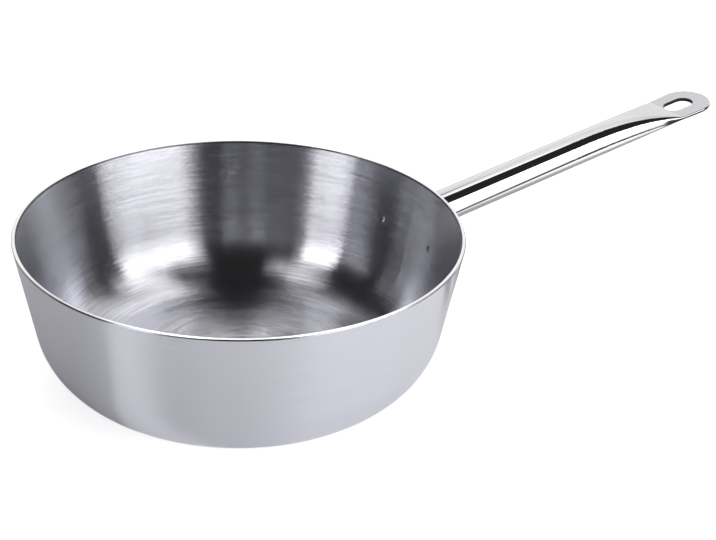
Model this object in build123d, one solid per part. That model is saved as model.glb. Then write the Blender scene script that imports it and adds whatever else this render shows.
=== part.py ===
"""Saucier pan: a three-ply flared body with a welded tube handle.

Frame: the origin is the centre of the base on the surface the pan stands on,
+Z is up and the handle points along +X. All lengths are in millimetres.
"""
import os
from math import cos, radians, sin, tan

from build123d import *

# Body, measured on its outside
rim_diameter = 240.0
pan_height = 85.0
wall_lean_angle = 10.0
corner_radius = 40.0
rim_edge_radius = 0.8

# The three bonded sheets, from the outside in
outer_skin_thickness = 0.5
core_thickness = 1.5
inner_skin_thickness = 0.5

# Handle tube. Its axis meets the wall at handle_drop below the rim, where distances along it start.
tube_diameter = 19.5
tube_wall = 1.2
handle_drop = 22.4
handle_rise_angle = 8.8
handle_length = 234.0

# The end of the tube, pressed flat
press_start = 114.0
press_end = 201.0
closed_bore_gap = 0.2
crown_angle = 1.5
press_shares = (0.3, 0.45, 0.6, 0.72, 0.82, 0.91, 1.0)
neck_width = 30.8
paddle_width = 32.3
paddle_edge_share = 0.45
hole_length = 21.4
hole_width = 12.7
hole_to_tip = 22.1

# Saddle that carries the tube
saddle_thickness = 2.0
saddle_height = 33.0
ear_radius = 8.5
saddle_edge_bevel = 0.5
collar_length = 9.0
collar_wall = 1.8
collar_clearance = 0.1
bead_leg = 2.4

# Spot welds, one in each ear, a little lower than the handle
spot_drop = 9.1
spot_angle = 12.2
nugget_diameter = 5.2
mark_diameter = 4.4
mark_floor_diameter = 2.6
mark_depth = 0.22

# How far a cutting shape runs past what it cuts
overrun = 5.0

# Worked out from the sizes above
wall_thickness = outer_skin_thickness + core_thickness + inner_skin_thickness
rim_radius = rim_diameter / 2
lean = radians(wall_lean_angle)
paddle_thickness = 2 * tube_wall
bore_diameter = tube_diameter - 2 * tube_wall
tip_radius = paddle_width / 2
handle_height = pan_height - handle_drop
spot_height = handle_height - spot_drop


def wall_radius(height, outset=0.0):
    """Radius of the straight wall's outside at a height, moved out by outset."""
    return rim_radius - (pan_height - height) * tan(lean) + outset / cos(lean)


def flat_radius():
    """Radius of the base's flat: the corner's circle touches both the base and the wall."""
    return wall_radius(corner_radius, -corner_radius)


def outline(inset, top):
    """Half section of the body's outside moved in by inset, from the axis up to a height."""
    radius = corner_radius - inset
    floor = Line((0, inset), (flat_radius(), inset))
    corner = CenterArc((flat_radius(), corner_radius), radius, -90, 90 - wall_lean_angle)
    foot = corner @ 1
    wall = Line(foot, (wall_radius(top, -inset), top))
    return [floor, corner, wall]


def half_section(outside, inside, top):
    """Closed half section of the material between two insets."""
    outer = outline(outside, top)
    inner = outline(inside, top)
    axis = Line(inner[0] @ 0, outer[0] @ 0)
    closing = Line(outer[-1] @ 1, inner[-1] @ 1)
    return make_face([axis, *outer, closing, *inner])


def rimmed_section():
    """Half section of the whole wall, with both edges of the rim rounded."""
    section = half_section(0, wall_thickness, pan_height)
    rim = section.vertices().group_by(Axis.Y)[-1]
    return fillet(rim, rim_edge_radius)


def body_sheet(outside, inside):
    """One of the three sheets: the share of the wall's section between two insets, revolved."""
    sheet = half_section(outside, inside, pan_height + overrun) & rimmed_section()
    return revolve(Plane.XZ * sheet, Axis.Z)


def wall_cone(outset):
    """Solid cone whose side is the wall's outside moved out by outset."""
    low = corner_radius * (1 - sin(lean)) - overrun
    high = pan_height + saddle_height
    cone = Cone(
        wall_radius(low, outset),
        wall_radius(high, outset),
        high - low,
        align=(Align.CENTER, Align.CENTER, Align.MIN),
    )
    return Pos(0, 0, low) * cone


def handle_plane(along=0.0):
    """Plane across the tube at a distance along it: X across, Y up, Z towards the tip."""
    rise = radians(handle_rise_angle)
    forward = Vector(cos(rise), 0, sin(rise))
    root = Vector(wall_radius(handle_height), 0, handle_height)
    return Plane(origin=root + forward * along, x_dir=(0, 1, 0), z_dir=forward)


def rod(diameter, start, end):
    """Round rod on the tube's axis."""
    length = end - start
    return handle_plane(start) * Cylinder(
        diameter / 2, length, align=(Align.CENTER, Align.CENTER, Align.MIN)
    )


def round_outline(diameter):
    """Circle in four arcs: a short one at the top and the bottom, which pressing makes flat."""
    turn = 180 - 2 * crown_angle
    return Wire(
        [
            CenterArc((0, 0), diameter / 2, 90 - crown_angle, 2 * crown_angle).edge(),
            CenterArc((0, 0), diameter / 2, 90 + crown_angle, turn).edge(),
            CenterArc((0, 0), diameter / 2, 270 - crown_angle, 2 * crown_angle).edge(),
            CenterArc((0, 0), diameter / 2, 270 + crown_angle, turn).edge(),
        ]
    )


def pressed_outline(width, height):
    """Two flats joined by two half circles."""
    flat = (width - height) / 2
    half = height / 2
    return Wire(
        [
            Line((flat, half), (-flat, half)).edge(),
            CenterArc((-flat, 0), half, 90, 180).edge(),
            Line((-flat, -half), (flat, -half)).edge(),
            CenterArc((flat, 0), half, 270, 180).edge(),
        ]
    )


def squashed(diameter, end_height, share):
    """Outline of a round tube pressed part of the way to end_height: it spreads as it sinks."""
    height = diameter - (diameter - end_height) * share
    return pressed_outline(diameter + (neck_width - tube_diameter) * share, height)


def press_loft(diameter, end_height):
    """The tube's outside or bore through the pressed stretch, round at one end, flat at the other.

    The tube gives way slowly at first: it is pressed by the cube of the share of the way.
    """
    places = [(press_start, round_outline(diameter))]
    for share in press_shares:
        along = press_start + (press_end - press_start) * share
        places.append((along, squashed(diameter, end_height, share**3)))
    return Solid.make_loft([form.moved(handle_plane(s).location) for s, form in places])


def paddle():
    """Flat end of the handle: it widens from the neck to a round tip."""
    neck = neck_width / 2
    tip_centre = handle_length - tip_radius
    blade = make_face(
        Polyline(
            (press_end, -neck),
            (tip_centre, -tip_radius),
            (tip_centre, tip_radius),
            (press_end, neck),
            close=True,
        )
    )
    plan = blade + Pos(tip_centre, 0) * Circle(tip_radius)
    plate = extrude(plan, paddle_thickness / 2, both=True)
    long_edges = plate.edges().filter_by(GeomType.LINE).filter_by(Axis.Z, reverse=True)
    rims = long_edges.filter_by(Plane.YZ, reverse=True) + plate.edges().filter_by(GeomType.CIRCLE)
    return fillet(rims, paddle_thickness * paddle_edge_share)


def paddle_location():
    """Lays a plan drawn with X along the handle and Y across it onto the handle's axis."""
    across = handle_plane()
    return Plane(origin=across.origin, x_dir=across.z_dir, z_dir=across.y_dir)


def hanging_hole():
    """Oblong hole through the paddle."""
    slot = SlotOverall(hole_length, hole_width)
    return extrude(Pos(handle_length - hole_to_tip, 0) * slot, overrun, both=True)


def handle_tube():
    """One tube: round from the saddle, then pressed flat into a paddle with a hanging hole."""
    outside = rod(tube_diameter, -overrun, press_start)
    outside += press_loft(tube_diameter, paddle_thickness)
    outside += paddle_location() * paddle()
    bore = rod(bore_diameter, -2 * overrun, press_start)
    bore += press_loft(bore_diameter, closed_bore_gap)
    tube = outside - bore - paddle_location() * hanging_hole()
    return tube - wall_cone(saddle_thickness)


def spot_axis(side):
    """Axis of a spot weld: square to the wall, through its outside. Side is 1 or -1."""
    turn = radians(side * spot_angle)
    reach = wall_radius(spot_height)
    foot = Vector(reach * cos(turn), reach * sin(turn), spot_height)
    outward = Vector(cos(lean) * cos(turn), cos(lean) * sin(turn), -sin(lean))
    return foot, outward


def nugget_rod(side):
    """Rod on a spot weld's axis, long enough to pass through the wall and the ear."""
    foot, outward = spot_axis(side)
    return Plane(origin=foot, z_dir=outward) * Cylinder(nugget_diameter / 2, 2 * overrun)


def electrode_mark(side, outset, facing):
    """Plug that leaves a shallow round dent in the face at outset. Facing is 1 outside, -1 inside."""
    foot, outward = spot_axis(side)
    floor = mark_floor_diameter / 2
    plug = Cone(floor, mark_diameter - floor, 2 * mark_depth)
    return Plane(origin=foot + outward * outset, z_dir=outward * facing) * plug


def saddle_outline():
    """Hull of a disc behind the tube and a disc round each spot weld, seen along the handle."""
    ear_reach = wall_radius(spot_height) * sin(radians(spot_angle))
    discs = [Pos(0, handle_height) * Circle(saddle_height / 2)]
    for side in (-1, 1):
        inward = Rot(Z=90 * (1 + side))
        discs.append(Pos(side * ear_reach, spot_height) * inward * Circle(ear_radius))
    return make_hull([disc.edge() for disc in discs])


def saddle_plate():
    """The saddle's plate: it lies on the wall and has its curve."""
    block = extrude(Plane.YZ * saddle_outline(), rim_radius + overrun)
    plate = block & wall_cone(saddle_thickness) - wall_cone(0)
    return plate.solid()


def handle_saddle():
    """Plate with an ear on each side, and a collar that the tube slides over."""
    plate = saddle_plate()
    face = plate.faces().filter_by(GeomType.CONE).sort_by(Axis.X)[-1]
    plate = chamfer(face.outer_wire().edges(), saddle_edge_bevel)
    collar_diameter = bore_diameter - 2 * collar_clearance
    collar = rod(collar_diameter, -overrun, collar_length)
    collar -= rod(collar_diameter - 2 * collar_wall, -2 * overrun, collar_length + overrun)
    mouth = rod(collar_diameter - 2 * collar_wall, -2 * overrun, collar_length)
    saddle = plate - mouth + (collar - wall_cone(0))
    for side in (-1, 1):
        saddle -= nugget_rod(side)
    return saddle


def handle_weld():
    """Bead in the corner between the tube and the saddle: what a bevel there adds to the two."""
    face = wall_cone(saddle_thickness)
    stub = rod(tube_diameter, -2 * overrun, 2 * tube_diameter)
    plain = face + stub
    corner = new_edges(face, stub, combined=plain)
    return chamfer(corner, bead_leg) - plain


def spot_weld(side):
    """Nugget that joins an ear of the saddle to the outer sheet."""
    shell = wall_cone(saddle_thickness) - wall_cone(-outer_skin_thickness)
    return (nugget_rod(side) & shell) - electrode_mark(side, saddle_thickness, 1)


def outer_skin():
    """Outer sheet, with the place of each spot weld's nugget."""
    sheet = body_sheet(0, outer_skin_thickness)
    for side in (-1, 1):
        sheet -= nugget_rod(side) - wall_cone(-outer_skin_thickness)
    return sheet


def aluminium_core():
    """Middle sheet."""
    return body_sheet(outer_skin_thickness, outer_skin_thickness + core_thickness)


def inner_skin():
    """Inner sheet, with the mark that each spot weld's electrode left."""
    sheet = body_sheet(outer_skin_thickness + core_thickness, wall_thickness)
    for side in (-1, 1):
        sheet -= electrode_mark(side, -wall_thickness, -1)
    return sheet


pieces = {
    "outer_skin": outer_skin(),
    "aluminium_core": aluminium_core(),
    "inner_skin": inner_skin(),
    "handle_tube": handle_tube(),
    "handle_saddle": handle_saddle(),
    "handle_weld": handle_weld(),
    "spot_weld_left": spot_weld(1),
    "spot_weld_right": spot_weld(-1),
}

os.makedirs("parts", exist_ok=True)
for node, piece in pieces.items():
    export_step(piece, f"parts/{node}.step")
    box = piece.bounding_box()
    print(node, len(piece.solids()), round(piece.volume, 1), box.min, box.max)
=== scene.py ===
"""Looks of the saucier pan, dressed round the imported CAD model. All lengths are in metres."""
from math import cos, radians, sin

import bpy
from mathutils import Matrix, Vector

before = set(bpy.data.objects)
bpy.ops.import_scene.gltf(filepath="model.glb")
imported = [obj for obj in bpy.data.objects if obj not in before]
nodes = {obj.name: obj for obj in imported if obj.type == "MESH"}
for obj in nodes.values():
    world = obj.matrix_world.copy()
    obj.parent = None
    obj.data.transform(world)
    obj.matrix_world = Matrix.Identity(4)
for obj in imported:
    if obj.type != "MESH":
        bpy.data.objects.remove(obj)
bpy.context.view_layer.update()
scene = bpy.context.scene

# The camera, as fitted to the photograph. The fitted frame has the camera on its -Y side and is
# the part's frame turned by handle_azimuth about Z.
handle_azimuth = radians(29.61)
camera_distance = 0.775
camera_height_angle = radians(31.574)
aim_right = radians(4.870)
aim_up = radians(3.809)
camera_roll = radians(-0.214)
lens = 68.88
sensor_width = 36.0
to_part_frame = Matrix.Rotation(-handle_azimuth, 4, "Z")

# The room. A light is the direction that its bearings are counted from, the ramps of its two sides,
# the ramps of its lower and upper edge, and its level. Angles are in degrees. Front bearings are
# degrees right of the direction from the pan towards the camera, rear ones of the opposite one.
room_lights = (
    # Soft box on the right
    ("front", ((22.0, 38.0), (58.0, 62.0)), ((-14.0, 2.0), (38.0, 50.0)), 3.3),
    ("front", ((22.0, 38.0), (58.0, 62.0)), ((42.0, 52.0), (60.0, 70.0)), 0.4),
    # Its outer part, whose top edge is the lower edge of the handle's black stripe
    ("front", ((58.0, 62.0), (81.0, 85.0)), ((-14.0, 24.0), (34.5, 36.5)), 3.2),
    # Soft box on the left
    ("front", ((-66.0, -63.0), (-44.0, -38.0)), ((-12.0, 6.0), (36.0, 46.0)), 1.9),
    ("front", ((-66.0, -63.0), (-44.0, -38.0)), ((10.0, 26.0), (34.0, 44.0)), 1.7),
    ("front", ((-66.0, -63.0), (-44.0, -36.0)), ((34.0, 44.0), (48.0, 58.0)), 0.9),
    # Overhead on the left
    ("front", ((-95.0, -70.0), (-42.0, -24.0)), ((60.0, 66.0), (70.0, 78.0)), 1.3),
    ("front", ((-140.0, -110.0), (-90.0, -70.0)), ((60.0, 68.0), (72.0, 80.0)), 1.3),
    # Low backdrop, with dimmer ends
    ("rear", ((-50.0, -46.0), (58.0, 66.0)), ((-2.0, 0.0), (24.0, 34.0)), 0.9),
    ("rear", ((58.0, 66.0), (76.0, 84.0)), ((8.0, 16.0), (24.0, 34.0)), 0.4),
    ("rear", ((-84.0, -78.0), (-50.0, -46.0)), ((4.0, 14.0), (24.0, 34.0)), 0.45),
    # Higher backdrop, whose right side is the upper edge of the handle's black stripe
    ("rear", ((-32.0, -20.0), (60.5, 63.5)), ((24.0, 34.0), (52.0, 58.0)), 0.8),
    ("rear", ((14.0, 22.0), (60.5, 63.5)), ((52.0, 58.0), (68.0, 72.0)), 0.9),
    ("rear", ((38.0, 42.0), (60.5, 63.5)), ((62.0, 64.0), (68.0, 72.0)), 0.4),
)
room_dimness = 0.02

# Upright screens that light the pan but not the handle: name, the two ends of each in the fitted
# frame, the heights of its lower and upper edge, and its lights.
screens = (
    ("high_screen", ((-2.4, 3.0), (2.4, 3.0)), (2.2, 7.0), (
        ("rear", ((4.0, 12.0), (24.0, 34.0)), ((40.0, 50.0), (60.0, 66.0)), 4.0),
        ("rear", ((-26.0, -18.0), (-8.0, -2.0)), ((40.0, 50.0), (60.0, 66.0)), 4.0),
        ("rear", ((-12.0, -6.0), (6.0, 12.0)), ((38.0, 44.0), (54.0, 60.0)), 1.6),
    )),
    ("right_screen", ((4.974, -3.355), (6.184, -0.205)), (3.5, 15.0), (
        ("front", ((58.0, 62.0), (81.0, 85.0)), ((34.5, 36.5), (44.0, 60.0)), 1.5),
    )),
    ("side_screen", ((6.0, -0.6), (5.6, 2.9)), (3.5, 18.0), (
        ("front", ((85.0, 88.0), (104.0, 112.0)), ((36.0, 46.0), (62.0, 72.0)), 2.1),
    )),
)
# Screen bearings are taken from a point inside the pan.
screen_centre = (0.0, 0.0, 0.05)

# Floor
floor_reach = 8.0
floor_height = -0.0002
floor_white = 0.8
floor_camera_glow = 0.7

# The pan
corner_heights = (0.012, 0.045)
rim_heights = (0.0838, 0.0844)
# Where the electrodes marked the wall, on either side of the handle; each mark gets a painted
# highlight on one side and painted shade on the other
mark_x = (0.09, 0.10)
mark_sides = ((0.0190, 0.0205), (0.0275, 0.0290))
mark_heights = ((0.0480, 0.0500), (0.0575, 0.0590))
# The handle
paddle_start = (0.262, 0.300)
cut_start = (0.296, 0.306)
paddle_normal = (-0.153, 0.0, 0.988)


# Node helpers

class Graph:
    """A material's or world's node tree, with short calls to add nodes."""

    def __init__(self, tree):
        self.tree = tree
        self.tree.nodes.clear()

    def node(self, kind, settings=None, **inputs):
        made = self.tree.nodes.new(kind)
        for name, value in (settings or {}).items():
            setattr(made, name, value)
        for name, value in inputs.items():
            self.put(made.inputs[name.replace("_", " ")], value)
        return made

    def put(self, socket, value):
        if isinstance(value, bpy.types.NodeSocket):
            self.tree.links.new(value, socket)
        else:
            socket.default_value = value

    def math(self, operation, *values):
        made = self.node("ShaderNodeMath", {"operation": operation})
        for socket, value in zip(made.inputs, values):
            self.put(socket, value)
        return made.outputs[0]

    def add(self, *values):
        total = values[0]
        for more in values[1:]:
            total = self.math("ADD", total, more)
        return total

    def times(self, *values):
        product = values[0]
        for more in values[1:]:
            product = self.math("MULTIPLY", product, more)
        return product

    def less(self, whole, part):
        return self.math("SUBTRACT", whole, part)

    def step(self, value, low, high, to_low=0.0, to_high=1.0, kind="SMOOTHSTEP"):
        made = self.node("ShaderNodeMapRange", {"interpolation_type": kind})
        for name, number in (
            ("Value", value),
            ("From Min", low),
            ("From Max", high),
            ("To Min", to_low),
            ("To Max", to_high),
        ):
            self.put(made.inputs[name], number)
        return made.outputs[0]

    def band(self, value, starts, ends):
        """Rises from 0 to 1 between the two starts and falls back between the two ends."""
        return self.times(self.step(value, *starts), self.step(value, *ends, 1.0, 0.0))

    def noise(self, place, scale, detail, roughness=0.6):
        made = self.node("ShaderNodeTexNoise", {"noise_dimensions": "3D"})
        for name, number in (
            ("Vector", place),
            ("Scale", scale),
            ("Detail", detail),
            ("Roughness", roughness),
        ):
            self.put(made.inputs[name], number)
        return made.outputs[0]

    def combine(self, x, y, z):
        made = self.node("ShaderNodeCombineXYZ")
        for socket, value in zip(made.inputs, (x, y, z)):
            self.put(socket, value)
        return made.outputs[0]

    def separate(self, value):
        made = self.node("ShaderNodeSeparateXYZ")
        self.put(made.inputs[0], value)
        return made.outputs

    def vector(self, operation, *values):
        made = self.node("ShaderNodeVectorMath", {"operation": operation})
        for socket, value in zip(made.inputs, values):
            self.put(socket, value)
        return made.outputs["Value" if operation == "DOT_PRODUCT" else "Vector"]

    def scaled(self, value, scale):
        made = self.node("ShaderNodeVectorMath", {"operation": "SCALE"})
        self.put(made.inputs[0], value)
        self.put(made.inputs["Scale"], scale)
        return made.outputs[0]

    def object_place(self):
        return self.node("ShaderNodeTexCoord").outputs["Object"]

    def normal(self):
        return self.node("ShaderNodeNewGeometry").outputs["Normal"]

    def sum_of_shaders(self, first, second):
        both = self.node("ShaderNodeAddShader")
        self.put(both.inputs[0], first.outputs[0])
        self.put(both.inputs[1], second.outputs[0])
        return both

    def surface(self, shader):
        out = self.node("ShaderNodeOutputMaterial")
        self.put(out.inputs[0], shader.outputs[0])


def new_material(name):
    material = bpy.data.materials.new(name)
    material.use_nodes = True
    return material, Graph(material.node_tree)


# Room

def bearings(g, direction):
    """Front bearing, rear bearing and height, in degrees, of a direction in the part's frame."""
    turned = g.node("ShaderNodeVectorRotate", {"rotation_type": "Z_AXIS"}, Angle=handle_azimuth)
    g.put(turned.inputs["Vector"], direction)
    x, y, z = g.separate(g.vector("NORMALIZE", turned.outputs[0]))
    front = g.math("DEGREES", g.math("ARCTAN2", x, g.times(y, -1.0)))
    rear = g.math("DEGREES", g.math("ARCTAN2", x, y))
    up = g.math("DEGREES", g.math("ARCSINE", z))
    return front, rear, up


def light_level(g, direction, lights):
    """Level of a set of lights in a direction."""
    front, rear, up = bearings(g, direction)
    glows = []
    for side, sides, heights, level in lights:
        across = front if side == "front" else rear
        glows.append(g.times(g.band(across, *sides), g.band(up, *heights), level))
    return g.add(*glows)


def build_world():
    world = bpy.data.worlds.new("studio")
    scene.world = world
    world.use_nodes = True
    g = Graph(world.node_tree)
    direction = g.node("ShaderNodeTexCoord").outputs["Generated"]
    light = g.add(light_level(g, direction, room_lights), room_dimness)
    path = g.node("ShaderNodeLightPath")
    light = g.math("MAXIMUM", light, path.outputs["Is Camera Ray"])
    back = g.node("ShaderNodeBackground")
    g.put(back.inputs["Color"], g.combine(light, light, light))
    out = g.node("ShaderNodeOutputWorld")
    g.put(out.inputs[0], back.outputs[0])


def stage_plane(name, corners):
    mesh = bpy.data.meshes.new(name)
    mesh.from_pydata(corners, [], [(0, 1, 2, 3)])
    plane = bpy.data.objects.new(name, mesh)
    scene.collection.objects.link(plane)
    material, g = new_material(name)
    mesh.materials.append(material)
    return plane, g


def build_screen(name, ends, heights, lights):
    """A glowing screen that the camera doesn't see, kept off the handle, which would otherwise
    mirror it whole."""
    low, high = heights
    corners = []
    for end, height in ((ends[0], low), (ends[1], low), (ends[1], high), (ends[0], high)):
        corners.append(to_part_frame @ Vector((*end, height)))
    plane, g = stage_plane(name, corners)
    plane.visible_camera = False
    place = g.node("ShaderNodeNewGeometry").outputs["Position"]
    direction = g.vector("SUBTRACT", place, screen_centre)
    emission = g.node("ShaderNodeEmission")
    g.put(emission.inputs["Strength"], light_level(g, direction, lights))
    g.surface(g.sum_of_shaders(g.node("ShaderNodeBsdfTransparent"), emission))
    left_out = bpy.data.collections.new(name + "_left_out")
    left_out.objects.link(nodes["handle_tube"])
    plane.light_linking.receiver_collection = left_out
    for entry in left_out.collection_objects:
        entry.light_linking.link_state = "EXCLUDE"


def floor_tones(g, x, y, front):
    """What metal mirrors of the floor: the glow that it sees there and the share of white it lacks.

    The floor glows darker on the left of the pan, with one light band, and lighter on the right.
    Along the handle it carries a painted shadow, greyer, and a painted dark line, both seen by
    metal only.
    """
    out_front = g.add(g.times(x, -0.0595), g.times(y, -1.116))
    base = g.add(
        g.step(out_front, -0.02, 0.10, 0.0, 0.2),
        g.step(front, -25.0, -5.0, 0.0, 0.07),
        g.step(front, -5.0, 20.0, 0.0, 0.10),
    )
    light_band = g.times(
        g.band(out_front, (0.044, 0.050), (0.085, 0.091)),
        0.2,
        g.step(x, -0.05, 0.0, 1.0, 0.0),
    )
    by_handle = g.step(x, 0.17, 0.19)
    # Painted dark line along the handle, a painted reflection seen by metal only
    line_front = g.step(g.add(g.times(x, 0.53), y), 0.017, 0.029)
    line_back = g.step(g.add(g.times(x, 0.33), y), 0.006, 0.017, 1.0, 0.0)
    painted_dark_line = g.times(by_handle, g.times(line_front, line_back))
    # Painted shadow along the handle, seen by metal only
    painted_handle_shadow = g.times(by_handle, g.step(y, -0.045, -0.020))
    beyond = g.times(by_handle, 0.25, g.step(y, -0.055, -0.045, 1.0, 0.0))
    tone = g.times(g.add(base, light_band), g.less(1.0, painted_handle_shadow))
    tone = g.times(g.add(tone, beyond), g.less(1.0, painted_dark_line))
    line_shade = g.times(painted_dark_line, g.step(x, 0.24, 0.40, 0.80, 0.95, "LINEAR"))
    shade = g.math("MAXIMUM", line_shade, g.times(painted_handle_shadow, 0.3))
    return tone, shade


def build_floor():
    """A floor that is white to the camera and keeps the pan's shadow, with glows and painted shade
    for metal only.
    """
    corners = [
        (-floor_reach, -floor_reach, floor_height),
        (floor_reach, -floor_reach, floor_height),
        (floor_reach, floor_reach, floor_height),
        (-floor_reach, floor_reach, floor_height),
    ]
    plane, g = stage_plane("floor", corners)
    place = g.node("ShaderNodeNewGeometry").outputs["Position"]
    front = bearings(g, place)[0]
    x, y = g.separate(place)[:2]
    tone, shade = floor_tones(g, x, y, front)
    path = g.node("ShaderNodeLightPath").outputs
    metal_ray = g.math("MAXIMUM", path["Is Glossy Ray"], path["Is Transmission Ray"])
    white = g.times(g.less(1.0, g.times(shade, metal_ray)), floor_white)
    diffuse = g.node("ShaderNodeBsdfDiffuse")
    g.put(diffuse.inputs["Color"], g.combine(white, white, white))
    emission = g.node("ShaderNodeEmission", Color=(1.0, 1.0, 1.0, 1.0))
    camera_glow = g.times(path["Is Camera Ray"], floor_camera_glow)
    g.put(emission.inputs["Strength"], g.add(camera_glow, g.times(metal_ray, tone)))
    g.surface(g.sum_of_shaders(diffuse, emission))


def build_camera():
    """The fitted camera, turned from the fitted frame into the part's."""
    place = Vector((0, -cos(camera_height_angle), sin(camera_height_angle))) * camera_distance
    forward = -place.normalized()
    right = Vector((1, 0, 0))
    up = right.cross(forward)
    forward, right = (
        forward * cos(aim_right) + right * sin(aim_right),
        right * cos(aim_right) - forward * sin(aim_right),
    )
    forward, up = (
        forward * cos(aim_up) + up * sin(aim_up),
        up * cos(aim_up) - forward * sin(aim_up),
    )
    right, up = (
        right * cos(camera_roll) + up * sin(camera_roll),
        up * cos(camera_roll) - right * sin(camera_roll),
    )
    pose = Matrix((right, up, -forward)).transposed().to_4x4()
    pose.translation = place
    data = bpy.data.cameras.new("camera")
    data.sensor_width = sensor_width
    data.lens = lens
    camera = bpy.data.objects.new("camera", data)
    camera.matrix_world = to_part_frame @ pose
    scene.collection.objects.link(camera)
    scene.camera = camera


# Materials

def ring_coordinates(g, x, y, z):
    """Where a point is on the brushing: two coordinates round the pan and one across."""
    radius = g.math("SQRT", g.add(g.times(x, x), g.times(y, y)))
    radius = g.math("MAXIMUM", radius, 0.0001)
    return g.math("DIVIDE", x, radius), g.math("DIVIDE", y, radius), g.add(radius, z)


def scratches(g, rings, slow, fast, detail):
    """Noise drawn out along the brushing, about 0.5 on average."""
    around_x, around_y, profile = rings
    place = g.combine(g.times(around_x, slow), g.times(around_y, slow), g.times(profile, fast))
    return g.noise(place, 1.0, detail)


def painted_rim_and_dent_light(g, normal, rings, along, x, y, z):
    """Painted highlight and shade: the rim is a bright ring between two dark edges, set by which
    way its normal faces, and each electrode mark gets a light and a dark side from its normal's
    tilt along the brushing. It is 1 elsewhere."""
    around_x, around_y, profile = rings
    outward = g.vector("DOT_PRODUCT", normal, g.combine(around_x, around_y, 0.0))
    # Painted highlight and shade on the rim's edges, by which way the normal faces
    inner_edge = g.step(outward, -0.5, -0.2, 0.25, 1.45)
    outer_edge = g.step(outward, 0.3, 0.7, 1.0, 0.5)
    at_rim = g.step(z, *rim_heights)
    painted_rim_light = g.step(at_rim, 0.0, 1.0, 1.0, g.times(inner_edge, outer_edge), "LINEAR")
    # Painted highlight and shade on each electrode mark, light on one side and dark on the other,
    # by the normal's tilt along the brushing
    sideways = g.vector("DOT_PRODUCT", normal, along)
    at_mark = g.times(
        g.band(g.math("ABSOLUTE", y), *mark_sides),
        g.band(z, *mark_heights),
        g.step(x, *mark_x),
    )
    painted_dent_light = g.step(sideways, -0.08, 0.08, 0.3, 1.7, "LINEAR")
    return g.times(painted_rim_light, g.step(at_mark, 0.0, 1.0, 1.0, painted_dent_light, "LINEAR"))


def brushed(name, colour, roughness, fans, streak, tone):
    """Steel brushed round the pan's axis.

    The grooves tip its normal up and down across the brushing, and so they draw each reflection out
    across them. The ones too fine to be seen do so by fans, low down and high up on the piece, and
    the visible ones by streak, which also tips the normal a little along the brushing.
    """
    material, g = new_material(name)
    x, y, z = g.separate(g.object_place())
    rings = ring_coordinates(g, x, y, z)
    around_x, around_y, profile = rings
    fine = scratches(g, rings, 6.0, 2600.0, 2.0)
    broad = scratches(g, rings, 2.5, 900.0, 3.0)
    aside = scratches(g, rings, 3.0, 1000.0, 3.0)
    hair = g.node("ShaderNodeTexWhiteNoise", {"noise_dimensions": "3D"})
    g.put(hair.inputs["Vector"], g.combine(around_x, around_y, g.times(profile, 50000.0)))
    first, second = g.separate(hair.outputs["Color"])[:2]
    grain = g.less(g.add(first, second), 1.0)
    visible = g.less(g.add(g.times(fine, 0.4), g.times(broad, 0.6)), 0.5)
    fan = g.step(z, *corner_heights, *fans)
    tip = g.add(g.times(grain, fan), g.times(visible, streak))
    lean = g.times(g.less(aside, 0.5), streak * 0.3)
    normal = g.normal()
    along = g.combine(g.times(around_y, -1.0), around_x, 0.0)
    across = g.vector("NORMALIZE", g.vector("CROSS_PRODUCT", normal, along))
    tilt = g.vector("ADD", g.scaled(across, tip), g.scaled(along, lean))
    tipped = g.vector("NORMALIZE", g.vector("ADD", normal, tilt))
    # The brushing streaks' own tone, times the painted rim and dent light
    level = g.times(
        g.step(visible, -0.2, 0.2, 1.0 - tone, 1.0 + tone, "LINEAR"),
        painted_rim_and_dent_light(g, normal, rings, along, x, y, z),
    )
    tangent = g.node("ShaderNodeTangent", {"direction_type": "RADIAL", "axis": "Z"})
    shader = g.node("ShaderNodeBsdfPrincipled", Metallic=1.0)
    g.put(shader.inputs["Base Color"], g.scaled(colour, level))
    shader.inputs["Roughness"].default_value = roughness
    shader.inputs["Anisotropic"].default_value = 1.0
    shader.inputs["Anisotropic Rotation"].default_value = 0.25
    g.put(shader.inputs["Tangent"], tangent.outputs[0])
    g.put(shader.inputs["Normal"], tipped)
    g.surface(shader)
    return material


def plain_metal(g, colour, level, rough):
    shader = g.node("ShaderNodeBsdfPrincipled", Metallic=1.0)
    g.put(shader.inputs["Base Color"], g.scaled(colour, level))
    g.put(shader.inputs["Roughness"], rough)
    g.surface(shader)


def clouded(g, place, roughness):
    """Cloudy noise, and a roughness that varies with it."""
    cloud = g.noise(place, 60.0, 3.0)
    return cloud, g.step(cloud, 0.3, 0.7, roughness * 0.7, roughness * 1.4, "LINEAR")


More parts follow.
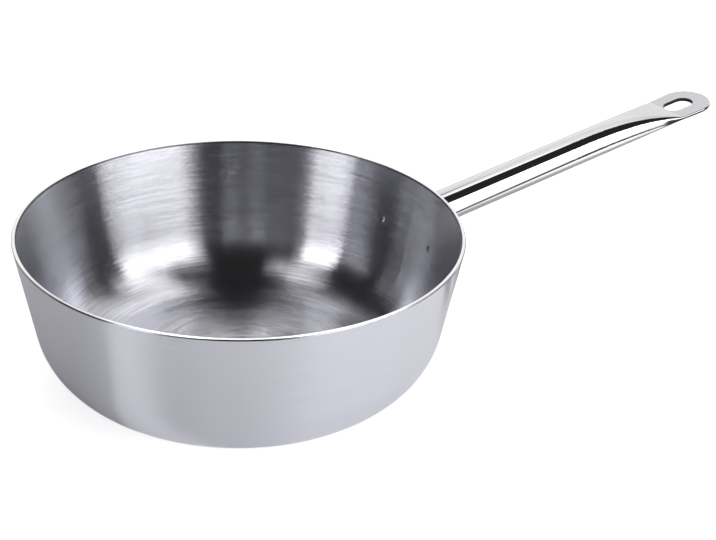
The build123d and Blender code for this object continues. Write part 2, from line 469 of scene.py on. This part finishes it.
def handle_steel(name, colour, roughness):
    """Mirror polished steel, a little duller where it was pressed flat, with rougher sheared metal
    on the cut round the paddle and its hole, darkened there nearly to black as painted shade."""
    material, g = new_material(name)
    place = g.object_place()
    x, y, z = g.separate(place)
    rough = clouded(g, place, roughness)[1]
    drawn = g.noise(g.combine(g.times(x, 90.0), g.times(y, 700.0), g.times(z, 700.0)), 1.0, 3.0)
    paddle = g.step(x, *paddle_start)
    flat = g.math("ABSOLUTE", g.vector("DOT_PRODUCT", g.normal(), paddle_normal))
    # The cut faces: rougher sheared metal, and darkened to 0.05 as painted shade
    cut_rough_and_painted_dark = g.times(g.step(x, *cut_start), g.step(flat, 0.30, 0.55, 1.0, 0.0))
    level = g.times(
        g.step(drawn, 0.3, 0.7, 0.96, 1.02, "LINEAR"),
        g.step(paddle, 0.0, 1.0, 1.0, 0.88),
        g.step(cut_rough_and_painted_dark, 0.0, 1.0, 1.0, 0.05),
    )
    plain_metal(g, colour, level, g.add(rough, g.times(paddle, 0.05), g.times(cut_rough_and_painted_dark, 0.25)))
    return material


def polished(name, colour, roughness):
    """Polished steel with faint cloudy marks."""
    material, g = new_material(name)
    cloud, rough = clouded(g, g.object_place(), roughness)
    plain_metal(g, colour, g.step(cloud, 0.3, 0.7, 0.985, 1.015, "LINEAR"), rough)
    return material


def dress(node, material):
    slots = nodes[node].data.materials
    slots.clear()
    slots.append(material)


build_world()
for screen in screens:
    build_screen(*screen)
build_floor()
build_camera()

inner_steel = brushed("inner_brushed", (0.6, 0.6, 0.64), 0.18, (0.15, 0.8), 0.22, 0.2)
outer_steel = brushed("outer_satin", (0.635, 0.635, 0.7), 0.22, (0.2, 0.2), 0.04, 0.03)
core_metal = brushed("core_edge", (0.68, 0.68, 0.7), 0.22, (0.05, 0.05), 0.02, 0.03)
mirror = handle_steel("handle_mirror", (0.86, 0.86, 0.88), 0.03)
saddle_steel = polished("saddle_satin", (0.62, 0.62, 0.64), 0.25)
weld_steel = polished("weld_steel", (0.5, 0.5, 0.51), 0.3)

dress("inner_skin", inner_steel)
dress("outer_skin", outer_steel)
dress("aluminium_core", core_metal)
dress("handle_tube", mirror)
dress("handle_saddle", saddle_steel)
for name in ("handle_weld", "spot_weld_left", "spot_weld_right"):
    dress(name, weld_steel)

scene.view_settings.view_transform = "Standard"
